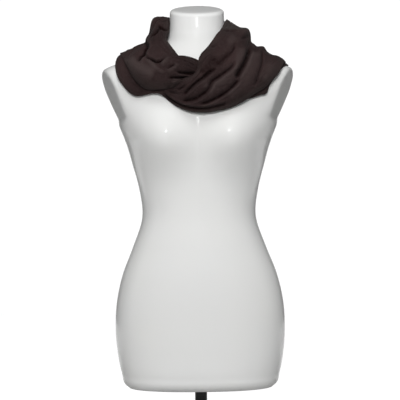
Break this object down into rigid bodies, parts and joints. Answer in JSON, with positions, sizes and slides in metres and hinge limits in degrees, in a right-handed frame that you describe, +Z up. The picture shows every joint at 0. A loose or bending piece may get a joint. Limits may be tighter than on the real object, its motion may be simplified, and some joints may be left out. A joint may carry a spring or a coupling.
{
  "type": "infinity scarf on dress form",
  "caption": "Fine jersey infinity scarf wound double round the neck of a glossy limbless dress form on a short pole and round base.",
  "frame": {"origin": "centre of the stand's base, on the surface it rests on", "axes": "+Z up, +X toward the side of the wide fanned strand, +Y behind the form, which faces -Y"},
  "size_m": [0.3986, 0.3, 0.9569],
  "materials": {
    "form": "smooth white, glossy with soft highlights",
    "stand": "black satin paint",
    "scarf": "matte dark brown fine jersey knit"
  },
  "bodies": {
    "root": {"form_torso": "form", "stand_pole": "stand", "stand_base": "stand", "scarf_right_front": "scarf", "scarf_collar_back": "scarf", "scarf_left_front": "scarf", "scarf_under_right": "scarf", "scarf_under_back": "scarf", "scarf_under_left": "scarf"}
  },
  "joints": []
}
